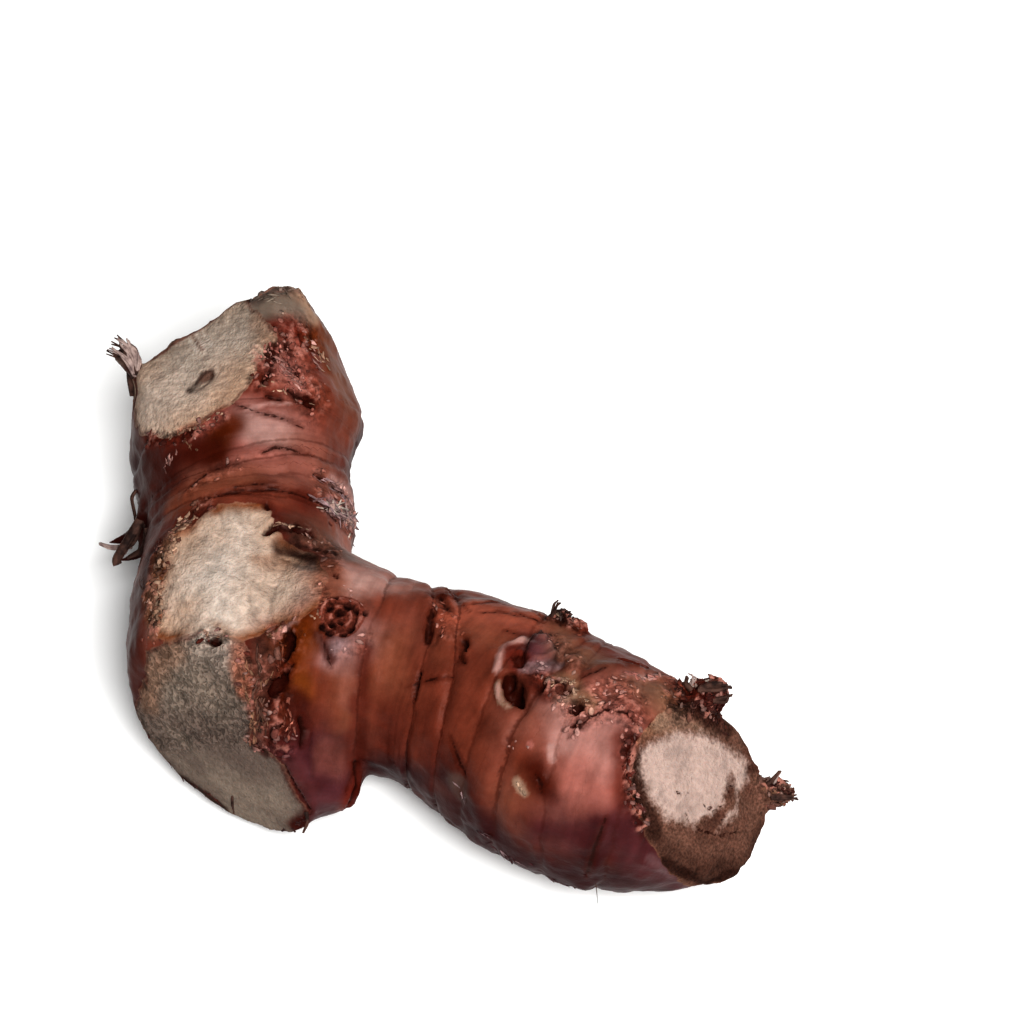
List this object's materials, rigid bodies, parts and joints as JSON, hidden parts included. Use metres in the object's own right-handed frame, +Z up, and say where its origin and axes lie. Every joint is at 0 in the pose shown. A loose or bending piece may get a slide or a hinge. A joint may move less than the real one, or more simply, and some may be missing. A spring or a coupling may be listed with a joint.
{
  "type": "galangal root",
  "caption": "Fresh galangal rhizome in an L shape, with ringed brown-pink skin, dry knife cuts at its ends, a pale scar on its crown, root scars and trimmed root stubs.",
  "frame": {"origin": "under the middle of the rhizome's box, on the surface that it lies on", "axes": "+Z up; +X towards the cut end of the side limb, the longest side of the box; +Y from the front cut towards the stem cut"},
  "size_m": [0.1112, 0.1038, 0.0404],
  "materials": {
    "galangal_skin": "satin"
  },
  "bodies": {
    "root": {"galangal_rhizome": "galangal_skin"}
  },
  "joints": []
}
